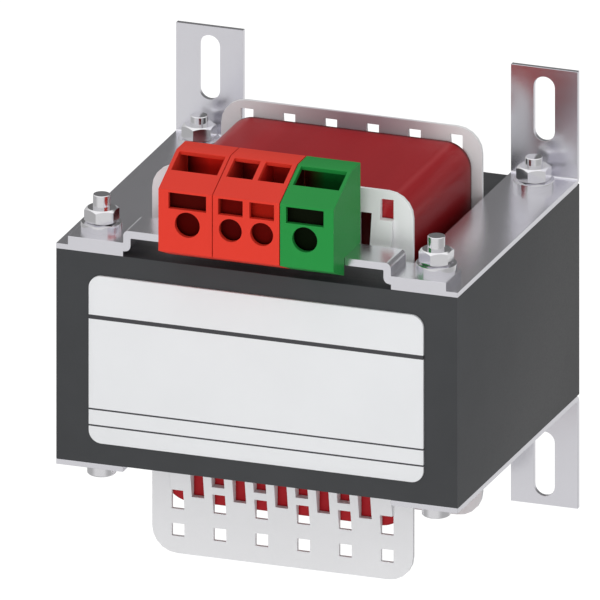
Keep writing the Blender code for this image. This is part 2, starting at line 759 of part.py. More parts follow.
def block_outline():
    """Side view of a terminal block, hooked over the carrier's front edge."""
    hook_back = CORE_FRONT - SEAT_GAP
    return [
        (BLOCK_FRONT, BLOCK_SEAT - NOSE_DROP),
        (hook_back, BLOCK_SEAT - HOOK_DROP),
        (hook_back, BLOCK_SEAT),
        (BLOCK_BACK, BLOCK_SEAT),
        (BLOCK_BACK, BLOCK_SEAT + BLOCK_HEIGHT),
        (BLOCK_FRONT + BLOCK_SLOPE_RUN, BLOCK_SEAT + BLOCK_HEIGHT),
        (BLOCK_FRONT, BLOCK_SEAT + BLOCK_FACE_TOP),
    ]


def side_opening(left, right):
    """Shape that opens a cavity sideways, under the window in the sloping face."""
    outline = cavity_outline()
    del outline[3:5]
    return extruded([outline], "YZ", left, right)


def pole_tools(pole_x, cavity_x, cavity_width, window_width, wire_hole):
    """Shapes that hollow one pole and open its window and wire hole in the front face."""
    left = cavity_x - cavity_width / 2
    cavity_front = BLOCK_FRONT + BLOCK_WALL + CUT_MARGIN
    cavity = extruded([cavity_outline()], "YZ", left, left + cavity_width)
    window = blocks([(
        (pole_x - window_width / 2, BLOCK_FRONT - CUT_MARGIN, BLOCK_SEAT + WINDOW_LOW),
        (pole_x + window_width / 2, cavity_front, BLOCK_SEAT + WINDOW_HIGH))])
    entry = rod((pole_x, BLOCK_FRONT, BLOCK_SEAT + WIRE_HOLE_HEIGHT), wire_hole,
                2 * (cavity_front - BLOCK_FRONT), "Y", 32)
    return [cavity, window, entry]


def make_contact(name, pole_x, with_foot=False):
    """Bent contact bar on the pole's floor, with a leg at the back for the lead."""
    front = BLOCK_FRONT + BLOCK_WALL + CONTACT_SETBACK
    leg_front = CONTACT_BACK - CONTACT_THICKNESS
    outline = [(front, CONTACT_LOW)]
    if with_foot:
        foot_back = leg_front - FOOT_SETBACK
        outline += [
            (foot_back - FOOT_WIDTH, CONTACT_LOW),
            (foot_back - FOOT_WIDTH, BLOCK_SEAT),
            (foot_back, BLOCK_SEAT),
            (foot_back, CONTACT_LOW),
        ]
    outline += [
        (CONTACT_BACK, CONTACT_LOW),
        (CONTACT_BACK, CONTACT_LOW + CONTACT_LEG_HEIGHT),
        (leg_front, CONTACT_LOW + CONTACT_LEG_HEIGHT),
        (leg_front, CONTACT_HIGH),
        (front, CONTACT_HIGH),
    ]
    left = pole_x - CONTACT_WIDTH / 2
    name_piece(extruded([outline], "YZ", left, left + CONTACT_WIDTH), name, "contact_copper")


def make_spring(name, pole_x):
    """Bent leaf spring on the contact bar, its free end pointing at the wire's way in."""
    half = SPRING_THICKNESS / 2
    low = CONTACT_HIGH + SEAT_GAP + half
    back = CONTACT_BACK - CONTACT_THICKNESS - SEAT_GAP - half
    corners = [
        (back - SPRING_LENGTH, low, 0),
        (back, low, SPRING_BEND),
        (back, low + SPRING_HEIGHT, SPRING_BEND),
        (back - 0.6 * SPRING_LENGTH, low + SPRING_HEIGHT, SPRING_BEND),
        (back - SPRING_LENGTH - SPRING_TIP_REACH, low + SPRING_TIP_HEIGHT, 0),
    ]
    path = rounded_outline(corners)
    shape = bmesh.new()
    rows = []
    for side in (-1, 1):
        x = pole_x + side * CONTACT_WIDTH / 2
        rows.append([shape.verts.new((x, point[0], point[1])) for point in path])
    for index in range(len(path) - 1):
        shape.faces.new((rows[0][index], rows[1][index], rows[1][index + 1], rows[0][index + 1]))
    mesh = bpy.data.meshes.new(name)
    shape.to_mesh(mesh)
    shape.free()
    ribbon = working_object(mesh)
    thick = ribbon.modifiers.new("sheet", "SOLIDIFY")
    thick.thickness = SPRING_THICKNESS
    thick.offset = 0
    thick.use_even_offset = True
    apply_modifiers(ribbon)
    name_piece(ribbon, name, "spring_steel")


def make_terminals():
    """Three blocks side by side on the carrier, with their contacts."""
    double = DOUBLE_BLOCK_WIDTH / 2
    line = extruded([block_outline()], "YZ", -SINGLE_BLOCK_X - SINGLE_BLOCK_WIDTH / 2,
                    -SINGLE_BLOCK_X + SINGLE_BLOCK_WIDTH / 2)
    load = extruded([block_outline()], "YZ", -double, double)
    earth = extruded([block_outline()], "YZ", SINGLE_BLOCK_X - SINGLE_BLOCK_WIDTH / 2,
                     SINGLE_BLOCK_X + SINGLE_BLOCK_WIDTH / 2)
    single = (SINGLE_CAVITY_WIDTH, SINGLE_WINDOW_WIDTH, SINGLE_WIRE_HOLE)
    paired = (DOUBLE_CAVITY_WIDTH, DOUBLE_WINDOW_WIDTH, DOUBLE_WIRE_HOLE)
    line_tools = pole_tools(-SINGLE_POLE_X, -SINGLE_BLOCK_X, *single)
    line_tools.append(lead_hole(-SINGLE_POLE_X, BLOCK_BACK, lead_height()))
    load_tools = []
    for side in (-1, 1):
        load_tools += pole_tools(side * DOUBLE_POLE_X, side * DOUBLE_POLE_X, *paired)
        load_tools.append(lead_hole(side * DOUBLE_POLE_X, BLOCK_BACK, lead_height()))
    earth_tools = pole_tools(SINGLE_POLE_X, SINGLE_BLOCK_X, *single)
    earth_left = SINGLE_BLOCK_X - SINGLE_BLOCK_WIDTH / 2
    earth_tools.append(side_opening(earth_left - CUT_MARGIN, SINGLE_BLOCK_X))
    foot_back = CONTACT_BACK - CONTACT_THICKNESS - FOOT_SETBACK
    half_slot = CONTACT_WIDTH / 2 + LEAD_HOLE_CLEARANCE
    earth_tools.append(blocks([(
        (SINGLE_POLE_X - half_slot, foot_back - FOOT_WIDTH - LEAD_HOLE_CLEARANCE,
         BLOCK_SEAT - CUT_MARGIN),
        (SINGLE_POLE_X + half_slot, foot_back + LEAD_HOLE_CLEARANCE,
         BLOCK_SEAT + BLOCK_FLOOR + CUT_MARGIN))]))
    name_piece(combine(line, line_tools), "terminal_block_line", "red_plastic")
    name_piece(combine(load, load_tools), "terminal_block_load", "red_plastic")
    name_piece(combine(earth, earth_tools), "terminal_block_earth", "green_plastic")
    poles = {
        "line": -SINGLE_POLE_X,
        "tap": -DOUBLE_POLE_X,
        "common": DOUBLE_POLE_X,
        "earth": SINGLE_POLE_X,
    }
    for pole, pole_x in poles.items():
        make_contact(f"contact_bar_{pole}", pole_x, pole == "earth")
        make_spring(f"clamp_spring_{pole}", pole_x)


def make_rating_plate():
    """Blank plate with rounded corners on the core's front."""
    outline = box_outline(-PLATE_WIDTH / 2, PLATE_WIDTH / 2, -PLATE_HEIGHT / 2,
                          PLATE_HEIGHT / 2, PLATE_CORNER)
    back = CORE_FRONT - SEAT_GAP
    plate = extruded([outline], "XZ", back - PLATE_THICKNESS, back)
    name_piece(plate, "rating_plate", "plate_face")


make_core()
make_bobbin()
make_coil()
make_leads()
make_brackets()
make_carrier()
make_fasteners()
make_terminals()
make_rating_plate()
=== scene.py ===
"""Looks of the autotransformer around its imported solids: pieces, finishes, lights and camera."""

import math

import bmesh
import bpy
from mathutils import Matrix, Vector


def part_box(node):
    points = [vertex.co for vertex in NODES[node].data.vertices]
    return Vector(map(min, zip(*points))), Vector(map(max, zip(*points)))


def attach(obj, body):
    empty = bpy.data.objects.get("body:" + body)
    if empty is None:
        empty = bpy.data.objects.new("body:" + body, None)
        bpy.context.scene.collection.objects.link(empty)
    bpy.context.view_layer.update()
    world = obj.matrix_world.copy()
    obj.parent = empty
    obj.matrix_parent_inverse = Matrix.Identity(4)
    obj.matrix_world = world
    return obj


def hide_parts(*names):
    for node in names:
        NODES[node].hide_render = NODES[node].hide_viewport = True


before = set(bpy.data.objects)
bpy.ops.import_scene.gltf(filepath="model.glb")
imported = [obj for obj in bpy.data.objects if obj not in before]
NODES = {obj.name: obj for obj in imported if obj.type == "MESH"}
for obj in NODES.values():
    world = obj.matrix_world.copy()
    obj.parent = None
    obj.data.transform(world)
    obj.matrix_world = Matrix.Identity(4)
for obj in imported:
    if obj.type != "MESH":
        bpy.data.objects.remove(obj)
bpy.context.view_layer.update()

MM = 0.001

# Sizes in millimetres, as in the solids, which stand SEAT_GAP apart where real pieces touch
CENTRE_LEG = 32.0
WINDOW_WIDTH = 16.0
OUTER_LEG = 16.0
YOKE = 16.0
CORE_DEPTH = 80.0
STACK_HEIGHT = 50.0
SEAT_GAP = 0.2
BRACKET_THICKNESS = 1.2
CARRIER_THICKNESS = 1.8
CARRIER_RISE = 3.0
CARRIER_DEPTH = 10.0
SCREW_INSET = 8.0
SCREW_BORE = 4.6

# Places: heights from the core's middle, depths from its back face
CORE_HALF = CENTRE_LEG / 2 + WINDOW_WIDTH + OUTER_LEG
STACK_TOP = STACK_HEIGHT / 2
BRACKET_TOP = STACK_TOP + SEAT_GAP + BRACKET_THICKNESS
CARRIER_TOP = BRACKET_TOP + SEAT_GAP + CARRIER_THICKNESS

# Taped coil round the bobbin's tube, a little fuller than the solids
TUBE_WALL = 1.5
TUBE_CORNER = 1.0
TUBE_SIDE_CLEARANCE = 0.3
TUBE_STACK_CLEARANCE = 0.9
TUBE_HALF_WIDTH = CENTRE_LEG / 2 + TUBE_SIDE_CLEARANCE + TUBE_WALL
TUBE_HALF_HEIGHT = STACK_TOP + TUBE_STACK_CLEARANCE + TUBE_WALL
COIL_BUILD = 10.8
COIL_CORNER_GROWTH = 0.33
EXTRA_WIDTH = 0.35
EXTRA_HEIGHT = 0.45
COIL_HALF_WIDTH = TUBE_HALF_WIDTH + COIL_BUILD + EXTRA_WIDTH
COIL_HALF_HEIGHT = TUBE_HALF_HEIGHT + COIL_BUILD + EXTRA_HEIGHT
COIL_CORNER = TUBE_CORNER + TUBE_WALL + COIL_CORNER_GROWTH * COIL_BUILD
COIL_FRONT = -61.9
COIL_BACK = -18.1
REAR_FLANGE_FACE = -17.8

# Middle of the front flange's slot that shows beside the earth block
EARTH_SLOT = 20.0

# Terminal blocks: sides of the red two-pole block and of the blocks beside it, and the profile
SINGLE_BLOCK_WIDTH = 12.8
DOUBLE_BLOCK_WIDTH = 15.9
LOAD_SIDE = DOUBLE_BLOCK_WIDTH / 2
NEXT_SIDE = LOAD_SIDE + SEAT_GAP
OUTER_SIDE = NEXT_SIDE + SINGLE_BLOCK_WIDTH
BLOCK_OVERHANG = 7.0
BLOCK_REAR_LIP = 0.5
BLOCK_SLOPE_RUN = 12.0
BLOCK_FACE_HEIGHT = 13.6
BLOCK_HEIGHT = 19.0
BLOCK_FRONT = -CORE_DEPTH - SEAT_GAP - BLOCK_OVERHANG
BLOCK_BACK = -CORE_DEPTH + CARRIER_DEPTH + BLOCK_REAR_LIP
BLOCK_SLOPE_BACK = BLOCK_FRONT + BLOCK_SLOPE_RUN
BLOCK_SEAT = CARRIER_TOP + CARRIER_RISE + SEAT_GAP
BLOCK_FRONT_TOP = BLOCK_SEAT + BLOCK_FACE_HEIGHT
BLOCK_TOP = BLOCK_SEAT + BLOCK_HEIGHT

# In a block, the height between a wire hole and the window above it
HOLE_TO_WINDOW = 39.0


# Short ways to build node trees

class Nodes:
    """A node tree that takes numbers, colours and other nodes' outputs alike."""

    def __init__(self, tree):
        self.tree = tree

    def add(self, kind, **values):
        item = self.tree.nodes.new(kind)
        for key, value in values.items():
            setattr(item, key, value)
        return item

    def fill(self, socket, value):
        """Give a socket another node's output, a colour, a direction or a number."""
        if isinstance(value, bpy.types.NodeSocket):
            self.tree.links.new(value, socket)
        elif socket.type == "RGBA":
            socket.default_value = (*value, 1.0)
        else:
            socket.default_value = value

    def math(self, operation, *values):
        item = self.add("ShaderNodeMath", operation=operation)
        for socket, value in zip(item.inputs, values):
            self.fill(socket, value)
        return item.outputs[0]

    def fold(self, operation, *values):
        """Join any number of values by one operation."""
        result = values[0]
        for value in values[1:]:
            result = self.math(operation, result, value)
        return result

    def remap(self, value, low, high, to_low, to_high, interpolation="LINEAR"):
        item = self.add("ShaderNodeMapRange", interpolation_type=interpolation)
        for key, amount in (("Value", value), ("From Min", low), ("From Max", high),
                            ("To Min", to_low), ("To Max", to_high)):
            self.fill(item.inputs[key], amount)
        return item.outputs["Result"]

    def choose(self, share, first, second):
        """The first number where share is 0, the second where it is 1."""
        item = self.add("ShaderNodeMix")
        for index, value in ((0, share), (2, first), (3, second)):
            self.fill(item.inputs[index], value)
        return item.outputs[0]

    def blend(self, share, first, second, mode="MIX"):
        """The first colour where share is 0, the second, or their product, where it is 1."""
        item = self.add("ShaderNodeMix", data_type="RGBA", blend_type=mode)
        for index, value in ((0, share), (6, first), (7, second)):
            self.fill(item.inputs[index], value)
        return item.outputs[2]

    def brighten(self, colour, amount):
        item = self.add("ShaderNodeVectorMath", operation="SCALE")
        self.fill(item.inputs[0], colour)
        self.fill(item.inputs["Scale"], amount)
        return item.outputs[0]

    def along(self, vector, direction):
        """How far a vector points in a direction."""
        item = self.add("ShaderNodeVectorMath", operation="DOT_PRODUCT")
        self.fill(item.inputs[0], vector)
        self.fill(item.inputs[1], direction)
        return item.outputs["Value"]


class Shader(Nodes):
    """A material with one Principled shader, whose plain inputs are given by name."""

    def __init__(self, name, **values):
        self.material = bpy.data.materials.new(name)
        self.material.use_nodes = True
        super().__init__(self.material.node_tree)
        self.bsdf = self.tree.nodes["Principled BSDF"]
        for key, value in values.items():
            self.feed(key.replace("_", " "), value)

    def feed(self, key, value):
        self.fill(self.bsdf.inputs[key], value)

    def place(self):
        """Position in the object's own space, in metres."""
        return self.add("ShaderNodeTexCoord").outputs["Object"]

    def axes(self):
        """The same position as three numbers: across, depth and height."""
        split = self.add("ShaderNodeSeparateXYZ")
        self.fill(split.inputs[0], self.place())
        return split.outputs

    def fade(self, value, start, end, low=0.0, high=1.0):
        """Go from low to high between two places in millimetres."""
        return self.remap(value, start * MM, end * MM, low, high)

    def noise(self, scale, detail=2.0, stretch=None):
        """Cloudy pattern; a stretch below 1 draws it out along that axis."""
        item = self.add("ShaderNodeTexNoise")
        item.inputs["Scale"].default_value = scale
        item.inputs["Detail"].default_value = detail
        item.inputs["Roughness"].default_value = 0.55
        vector = self.place()
        if stretch:
            mapping = self.add("ShaderNodeMapping")
            mapping.inputs["Scale"].default_value = stretch
            self.fill(mapping.inputs["Vector"], vector)
            vector = mapping.outputs["Vector"]
        self.fill(item.inputs["Vector"], vector)
        return item.outputs["Fac"]

    def mottle(self, pattern, darker, lighter):
        """Two near colours, mixed by a noise pattern."""
        return self.blend(self.remap(pattern, 0.3, 0.7, 0, 1), darker, lighter)

    def grain(self, scale, low, high, margin=0.3):
        """Roughness that varies between two values by a fine noise, which is returned."""
        fine = self.noise(scale)
        self.feed("Roughness", self.remap(fine, margin, 1 - margin, low, high))
        return fine

    def bump(self, height, strength, distance=0.00004):
        item = self.add("ShaderNodeBump")
        item.inputs["Strength"].default_value = strength
        item.inputs["Distance"].default_value = distance
        self.fill(item.inputs["Height"], height)
        self.feed("Normal", item.outputs["Normal"])


def tinted(colour, share):
    return tuple(value * share for value in colour)


# Finishes

CLOUD_SCALE = 90.0
PLATE_CLOUD_SCALE = 60.0
METAL_CLOUD_SCALE = 60.0
METAL_GRAIN_SCALE = 500.0
PLASTIC_GRAIN_SCALE = 2800.0
SLEEVE_GRAIN_SCALE = 3600.0
TAPE_GRAIN_SCALE = 900.0
TAPE_FOLD_SCALE = 130.0


def plain_material(name, colour, roughness, spread, grain_scale, specular=0.5):
    """Moulded finish: faint mottling of the colour, and a fine grain."""
    shader = Shader(name, Specular_IOR_Level=specular)
    cloud = shader.noise(CLOUD_SCALE, detail=3.0)
    shader.feed("Base Color", shader.mottle(cloud, tinted(colour, 1 - spread),
                                            tinted(colour, 1 + spread)))
    shader.bump(shader.grain(grain_scale, roughness - 0.03, roughness + 0.03), strength=0.05)
    return shader.material


def shaded_material(name, colour):
    """Metal deep inside a pole, painted dull and dark with the shade of the cavity around it."""
    return plain_material(name, colour, roughness=0.7, spread=0.1,
                          grain_scale=PLASTIC_GRAIN_SCALE, specular=0.03)


def metal_material(name, colour, roughness):
    """Plated metal: a blurred mirror with a faint grain and slight patchiness."""
    shader = Shader(name, Metallic=1.0)
    cloud = shader.noise(METAL_CLOUD_SCALE)
    shader.feed("Base Color", shader.mottle(cloud, tinted(colour, 0.97), colour))
    shader.grain(METAL_GRAIN_SCALE, roughness - 0.015, roughness + 0.015, margin=0.25)
    return shader.material


RED = (0.745, 0.045, 0.026)
GREEN = (0.018, 0.272, 0.052)
# Painted shade for the metal deep inside the red poles
RED_SHADE = (0.095, 0.003, 0.002)
TAPE_TONES = ((0.356, 0.016, 0.021), (0.396, 0.018, 0.024))
# Painted highlight along the tape's corner creases
TAPE_CREASE_HIGHLIGHT = (0.48, 0.060, 0.065)
# Painted shade on the coil's sides
TAPE_SHADE = (0.20, 0.02, 0.03)
# Light left by the painted shade at the coil's rear end, and by the painted shadow behind the slot
# by the earth block
TAPE_REAR_LIGHT = 0.30
TAPE_SLOT_LIGHT = 0.12
FLANGE_TONES = ((0.765, 0.765, 0.780), (0.775, 0.775, 0.790))
# Painted light on the flanges' upper right corners
FLANGE_CORNER_LIGHT = (0.88, 0.885, 0.89)
# Painted shade, with reddish bounce light from the coil, on the rear flange above it
FLANGE_COIL_SHADE = (0.57, 0.45, 0.49)
PAINT_TONES = ((0.0418, 0.0437, 0.0466), (0.0462, 0.0483, 0.0515))
PLATE_TONES = ((0.765, 0.775, 0.790), (0.785, 0.795, 0.810))
PLATE_RULE = (0.045, 0.045, 0.050)

ZINC = metal_material("zinc", (0.845, 0.838, 0.885), roughness=0.25)
BRIGHT_STEEL = metal_material("bright_steel", (0.86, 0.855, 0.88), roughness=0.13)
COPPER = metal_material("copper", (0.72, 0.33, 0.20), roughness=0.3)
# Springs and contact bars painted with the dark red, or for earth dark green, of the shade in
# their poles
SPRING = shaded_material("spring_steel", RED_SHADE)
CONTACT = shaded_material("contact_copper", RED_SHADE)
EARTH_SPRING = shaded_material("spring_steel_earth", (0.005, 0.016, 0.006))
EARTH_CONTACT = shaded_material("contact_copper_earth", (0.005, 0.010, 0.004))
FILM = plain_material("insulation_film", (0.75, 0.66, 0.45), roughness=0.5, spread=0.04,
                      grain_scale=SLEEVE_GRAIN_SCALE)
SLEEVE = plain_material("lead_sleeve", (0.03, 0.03, 0.03), roughness=0.5, spread=0.04,
                        grain_scale=SLEEVE_GRAIN_SCALE)
RED_WALL = plain_material("red_plastic_wall", RED, roughness=0.5, spread=0.02,
                          grain_scale=PLASTIC_GRAIN_SCALE, specular=0.16)

# Lips of the windows, as thick as the blocks' walls look, and the soft edge behind them where the
# cavity's painted shade begins
LIP = 1.0
LIP_SOFT = 0.18

# Beyond every block: for a side that doesn't show, or that covers nothing
FAR = 100.0


def terminal_material(name, sides, outside, inside, other, turn, covered_from=FAR):
    """Terminal plastic: bright outside and on the lips of the windows, with painted shade in the
    cavity.

    The cavity's painted shade goes from inside to other between the two places across in turn, and
    painted light lifts it towards the windows. A side face beyond covered_from closes the
    neighbour's cavity, so it has painted shade there as well.
    """
    left, right = sides
    shader = Shader(name, Specular_IOR_Level=0.16)
    across, depth, height = shader.axes()

    # The slope's outward direction, and how deep a point lies behind each outer face
    slope = math.atan2(BLOCK_TOP - BLOCK_FRONT_TOP, BLOCK_SLOPE_BACK - BLOCK_FRONT) + math.pi / 2
    outward = (math.cos(slope), math.sin(slope))
    edge = (outward[0] * BLOCK_FRONT + outward[1] * BLOCK_FRONT_TOP) * MM
    behind_slope = shader.math("SUBTRACT", edge,
                               shader.math("ADD", shader.math("MULTIPLY", depth, outward[0]),
                                           shader.math("MULTIPLY", height, outward[1])))
    flank = shader.math("MINIMUM", shader.math("SUBTRACT", across, left * MM),
                        shader.math("SUBTRACT", right * MM, across))
    covered = shader.math("MULTIPLY", shader.math("SUBTRACT", across, covered_from * MM), 100)
    inset = shader.fold("MINIMUM", behind_slope,
                        shader.math("SUBTRACT", depth, BLOCK_FRONT * MM),
                        shader.math("SUBTRACT", BLOCK_BACK * MM, depth),
                        shader.math("SUBTRACT", height, BLOCK_SEAT * MM),
                        shader.math("SUBTRACT", BLOCK_TOP * MM, height),
                        shader.math("MAXIMUM", flank, covered))

    # Painted shade in the cavity, turning lighter across it and towards the windows, and darkest
    # where a side face is covered
    cavity = shader.blend(shader.fade(across, *turn), inside, other)
    cavity = shader.brighten(cavity, shader.fade(height, HOLE_TO_WINDOW, 47.0, 1.0, 2.3))
    cavity = shader.blend(shader.fade(covered, 0, 1), cavity, tinted(outside, 0.10))
    cloud = shader.noise(CLOUD_SCALE, detail=3.0)
    skin = shader.mottle(cloud, tinted(outside, 0.98), outside)
    shader.feed("Base Color", shader.blend(shader.fade(inset, LIP, LIP + LIP_SOFT), skin, cavity))
    shader.bump(shader.grain(PLASTIC_GRAIN_SCALE, 0.45, 0.51), strength=0.05)
    return shader.material


# Painted shade of each cavity: darkest colour, lightest colour and the places across where it
# turns
RED_LINE = terminal_material("red_plastic_line", (-OUTER_SIDE, -NEXT_SIDE), RED,
                             (0.02, 0.0005, 0.0005), (0.44, 0.012, 0.007), (-19.7, -14.6))
RED_LOAD = terminal_material("red_plastic_load", (-LOAD_SIDE, LOAD_SIDE), RED,
                             (0.06, 0.001, 0.001), (0.25, 0.008, 0.005), (-6.7, -3.5),
                             LOAD_SIDE - 0.1)
GREEN_EARTH = terminal_material("green_plastic_earth", (-FAR, OUTER_SIDE), GREEN,
                                (0.030, 0.002, 0.001), (0.003, 0.085, 0.014), (9.0, 13.0))


def shade_leaf_material(name, low, high):
    """Dark leaf inside a pole, painted with the cavity's shade: one colour behind the wire hole
    and one behind the window.
    """
    shader = Shader(name, Specular_IOR_Level=0.03)
    height = shader.axes()["Z"]
    share = shader.fade(height, HOLE_TO_WINDOW, HOLE_TO_WINDOW + 1.5)
    shader.feed("Base Color", shader.blend(share, low, high))
    shader.grain(PLASTIC_GRAIN_SCALE, 0.6, 0.7)
    return shader.material


def tape_material():
    """Glossy dark red tape, with painted highlights on its corner creases and painted shade in
    places.
    """
    shader = Shader("red_tape", Specular_IOR_Level=0.10)
    across, depth, height = shader.axes()
    aside = shader.math("ABSOLUTE", across)
    folds = shader.noise(TAPE_FOLD_SCALE, detail=3.0, stretch=(1.0, 0.07, 1.0))
    colour = shader.mottle(folds, *TAPE_TONES)

    # Painted highlights: two lighter creases along each upper corner, placed by the angle round
    # the corner's middle
    angle = shader.math("ARCTAN2",
                        shader.math("SUBTRACT", height, (COIL_HALF_HEIGHT - COIL_CORNER) * MM),
                        shader.math("SUBTRACT", aside, (COIL_HALF_WIDTH - COIL_CORNER) * MM))
    crease_highlights = [shader.remap(shader.math("ABSOLUTE", shader.math("SUBTRACT", angle, middle)),
                            0.0, width, strength, 0.0)
               for middle, width, strength in ((1.33, 0.17, 0.50), (0.72, 0.22, 0.22))]
    colour = shader.blend(shader.math("ADD", *crease_highlights), colour, TAPE_CREASE_HIGHLIGHT)

    # Painted shade: the coil's sides are darker towards the core
    lit = shader.fold("MAXIMUM", shader.fade(height, 18.0, 38.0),
                      shader.fade(height, -20.0, -10.0, 1, 0),
                      shader.fade(aside, 26.2, 28.2, 1, 0))
    colour = shader.blend(1.0, colour, shader.blend(lit, TAPE_SHADE, (1.0, 1.0, 1.0)), "MULTIPLY")

    # Painted shade on the last millimetre before the rear flange, and painted shadow of the earth
    # block on the tape behind the slot beside it
    rear = shader.math("MINIMUM", shader.fade(depth, COIL_BACK - 1.8, COIL_BACK - 0.9),
                       shader.fade(depth, COIL_BACK - 0.3, COIL_BACK - 0.1, 1, 0))
    slot = shader.fold("MULTIPLY", shader.fade(across, EARTH_SLOT - 3.5, EARTH_SLOT - 2.5),
                       shader.fade(across, EARTH_SLOT + 2.0, EARTH_SLOT + 3.0, 1, 0),
                       shader.fade(height, 0.0, 10.0),
                       shader.fade(depth, COIL_FRONT + 0.4, COIL_FRONT + 0.9, 1, 0))
    light = shader.math("MULTIPLY", shader.remap(rear, 0, 1, 1, TAPE_REAR_LIGHT),
                        shader.remap(slot, 0, 1, 1, TAPE_SLOT_LIGHT))
    shader.feed("Base Color", shader.brighten(colour, light))
    shader.grain(TAPE_GRAIN_SCALE, 0.285, 0.315)
    relief = shader.math("MULTIPLY", folds, shader.fade(aside, 16.5, 23.5, 0.2, 0.5))
    shader.bump(relief, strength=0.30, distance=0.0006)
    return shader.material


def flange_material():
    """White moulding, with painted light on one side's upper corners and painted reddish shade on
    the rear flange above the coil.
    """
    shader = Shader("bobbin_plastic", Specular_IOR_Level=0.25, Roughness=0.5)
    across, depth, height = shader.axes()
    cloud = shader.noise(CLOUD_SCALE, detail=3.0)
    colour = shader.mottle(cloud, *FLANGE_TONES)
    # Painted light on the upper corners of the right side
    corner = shader.math("MULTIPLY", shader.fade(across, 14.0, 21.0),
                         shader.fade(height, 24.0, 28.0))
    colour = shader.blend(corner, colour, FLANGE_CORNER_LIGHT)
    # Painted shade, with reddish light from the coil, on the rear flange's front face, strongest
    # in the middle
    from_middle = shader.math("ABSOLUTE", shader.math("SUBTRACT", across, 2.0 * MM))
    rear_face = shader.math(
        "MINIMUM", shader.fade(depth, REAR_FLANGE_FACE - 1.2, REAR_FLANGE_FACE - 0.3),
        shader.fade(depth, REAR_FLANGE_FACE + 0.1, REAR_FLANGE_FACE + 0.5, 1, 0))
    coil_shade = shader.math("MULTIPLY", shader.fade(from_middle, 4.0, 24.0, 1, 0), rear_face)
    shader.feed("Base Color", shader.blend(coil_shade, colour, FLANGE_COIL_SHADE, "MULTIPLY"))
    return shader.material


def paint_material():
    """Dark grey paint, with painted light and shade along the core's two sides."""
    shader = Shader("core_paint", Specular_IOR_Level=0.34)
    across, depth, _ = shader.axes()
    cloud = shader.noise(CLOUD_SCALE, detail=3.0)
    colour = shader.mottle(cloud, *PAINT_TONES)
    # Painted light towards the front of each side and painted shade towards its back
    side = shader.fade(shader.math("ABSOLUTE", across), CORE_HALF - 0.15, CORE_HALF - 0.05)
    painted_side_light = shader.fade(depth, -CORE_DEPTH, 0.0, 0.52, -0.32)
    shade = shader.math("ADD", shader.math("MULTIPLY", side, painted_side_light), 1.0)
    shader.feed("Base Color", shader.brighten(colour, shade))
    shader.bump(shader.grain(PLASTIC_GRAIN_SCALE, 0.47, 0.53), strength=0.10)
    return shader.material


def label_material():
    """Pale plate face with a dark thick rule and two dark thin ones across its whole width."""
    shader = Shader("plate_face", Specular_IOR_Level=0.4, Roughness=0.38)
    height = shader.axes()["Z"]
    rules = [shader.math("COMPARE", height, middle * MM, width / 2 * MM)
             for middle, width in ((10.1, 1.0), (-11.9, 0.4), (-15.8, 0.4))]
    cloud = shader.noise(PLATE_CLOUD_SCALE, detail=3.0)
    face = shader.mottle(cloud, *PLATE_TONES)
    shader.feed("Base Color", shader.blend(shader.fold("MAXIMUM", *rules), face, PLATE_RULE))
    return shader.material


CORE_PAINT = paint_material()
RED_TAPE = tape_material()
BOBBIN_PLASTIC = flange_material()
PLATE_FACE = label_material()


# Shapes: every bmesh here is in millimetres

# Cutters reach this far above and below the core's middle
CUT_REACH = 50.0


def place_mesh(name, shape, material, sharp=32):
    """Finished piece from a bmesh, with a crease where faces meet at more than sharp degrees."""
    for vertex in shape.verts:
        vertex.co *= MM
    bmesh.ops.recalc_face_normals(shape, faces=shape.faces)
    mesh = bpy.data.meshes.new(name)
    shape.to_mesh(mesh)
    shape.free()
    piece = bpy.data.objects.new(name, mesh)
    bpy.context.scene.collection.objects.link(piece)
    mesh.materials.append(material)
    mesh.shade_smooth()
    mesh.set_sharp_from_angle(angle=math.radians(sharp))
    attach(piece, "root")
    return piece


def even_normals(item):
    """Keep broad faces flat beside their rounded edges."""
    even = item.modifiers.new("even", "WEIGHTED_NORMAL")
    even.keep_sharp = True


def rectangle(half_width, half_height, radius):
    """Corners for arc_outline, all with one radius."""
    return [(-half_width, -half_height, radius), (half_width, -half_height, radius),
            (half_width, half_height, radius), (-half_width, half_height, radius)]


def arc_outline(corners, steps):
    """Points of a closed outline whose corners are given as (across, up, radius)."""
    points = []
    for index, (across, up, radius) in enumerate(corners):
        corner = Vector((across, up))
        to_last = (Vector(corners[index - 1][:2]) - corner).normalized()
        to_next = (Vector(corners[(index + 1) % len(corners)][:2]) - corner).normalized()
        half = to_last.angle(to_next) / 2
        centre = corner + (to_last + to_next).normalized() * radius / math.sin(half)
        start = corner + to_last * radius / math.tan(half) - centre
        end = corner + to_next * radius / math.tan(half) - centre
        sweep = math.atan2(start.x * end.y - start.y * end.x, start.dot(end))
        for step in range(steps + 1):
            points.append(centre + Matrix.Rotation(sweep * step / steps, 2) @ start)
    return points


def lift(point, plane, level):
    across, up = point
    return {"XY": (across, up, level), "XZ": (across, level, up), "YZ": (level, across, up)}[plane]


def add_ring(shape, outline, plane, level):
    return [shape.verts.new(lift(point, plane, level)) for point in outline]


def turned_rings(shape, centre, profile, steps):
    """One ring round the upright line through centre for each (radius, height) of a profile."""
    turns = [math.tau * step / steps for step in range(steps)]
    return [[shape.verts.new((centre[0] + radius * math.cos(turn),
                              centre[1] + radius * math.sin(turn), height)) for turn in turns]
            for radius, height in profile]


def join_rings(shape, rings):
    """Faces between each ring of points and the next."""
    count = len(rings[0])
    for first, second in zip(rings, rings[1:]):
        for index in range(count):
            after = (index + 1) % count
            shape.faces.new((first[index], first[after], second[after], second[index]))


def round_edges(shape, edges, offset):
    bmesh.ops.bevel(shape, geom=edges, offset=offset, segments=2, profile=0.5,
                    affect="EDGES", clamp_overlap=True)


